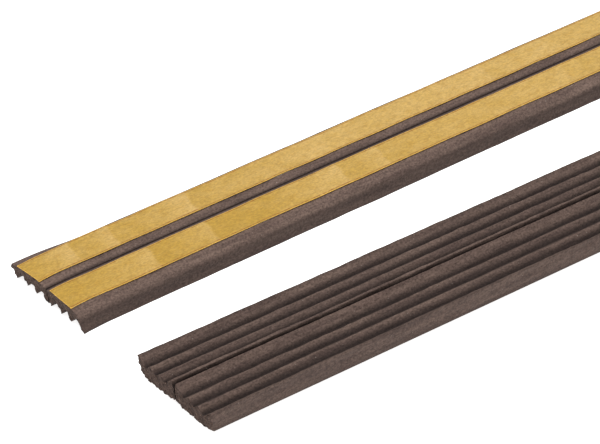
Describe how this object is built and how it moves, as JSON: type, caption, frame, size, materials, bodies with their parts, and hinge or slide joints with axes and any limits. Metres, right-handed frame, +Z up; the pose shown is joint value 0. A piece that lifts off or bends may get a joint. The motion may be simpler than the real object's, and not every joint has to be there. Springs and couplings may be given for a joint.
{
  "type": "self-adhesive door draught seal strip",
  "caption": "Cut lengths of brown sponge-rubber door seal: ribbed strips joined along a tear-off seam, with reinforced adhesive tape under golden release liners that peel back.",
  "frame": {"origin": "middle of the footprint of the two lengths, on the surface that they lie on", "axes": "+X along the ribs_up length from its near cut end (the tape_up length lies turned 1.25 degrees from it), +Y across them from the ribs_up length to the tape_up length, +Z up"},
  "size_m": [0.1516, 0.0546, 0.0042],
  "materials": {
    "sponge_rubber": "matte",
    "adhesive": "gloss",
    "scrim": "matte",
    "release_liner": "satin"
  },
  "bodies": {
    "tape_up_rear": {"tape_up_profile_rear": "sponge_rubber", "tape_up_seam_web": "sponge_rubber", "tape_up_base_coat_rear": "adhesive", "tape_up_scrim_rear": "scrim", "tape_up_face_coat_rear": "adhesive", "tape_up_liner_rear": "release_liner"},
    "tape_up_rear_tab": {"tape_up_liner_rear_tab": "release_liner"},
    "tape_up_front": {"tape_up_profile_front": "sponge_rubber", "tape_up_base_coat_front": "adhesive", "tape_up_scrim_front": "scrim", "tape_up_face_coat_front": "adhesive", "tape_up_liner_front": "release_liner"},
    "tape_up_front_tab": {"tape_up_liner_front_tab": "release_liner"},
    "ribs_up_rear": {"ribs_up_profile_rear": "sponge_rubber", "ribs_up_seam_web": "sponge_rubber", "ribs_up_base_coat_rear": "adhesive", "ribs_up_scrim_rear": "scrim", "ribs_up_face_coat_rear": "adhesive", "ribs_up_liner_rear": "release_liner"},
    "ribs_up_front": {"ribs_up_profile_front": "sponge_rubber", "ribs_up_base_coat_front": "adhesive", "ribs_up_scrim_front": "scrim", "ribs_up_face_coat_front": "adhesive", "ribs_up_liner_front": "release_liner"}
  },
  "joints": [
    {"name": "tape_up_fold", "type": "hinge", "parent": "tape_up_rear", "child": "tape_up_front", "pos_m": [-0.00068, 0.01625, 0.00335], "axis": [-0.9998, -0.0218, 0], "range_deg": [0, 90]},
    {"name": "tape_up_rear_peel", "type": "hinge", "parent": "tape_up_rear", "child": "tape_up_rear_tab", "pos_m": [-0.04577, 0.01992, 0.0042], "axis": [-0.0218, 0.9998, 0], "range_deg": [0, 160]},
    {"name": "tape_up_front_peel", "type": "hinge", "parent": "tape_up_front", "child": "tape_up_front_tab", "pos_m": [0.0444, 0.01288, 0.0042], "axis": [0.0218, -0.9998, 0], "range_deg": [0, 160]},
    {"name": "ribs_up_slide", "type": "slide", "parent": "tape_up_rear", "child": "ribs_up_rear", "axis": [0, -1, 0], "range_m": [0, 0.06]},
    {"name": "ribs_up_fold", "type": "hinge", "parent": "ribs_up_rear", "child": "ribs_up_front", "pos_m": [0, -0.01818, 0.0013], "axis": [-1, 0, 0], "range_deg": [0, 14]}
  ]
}
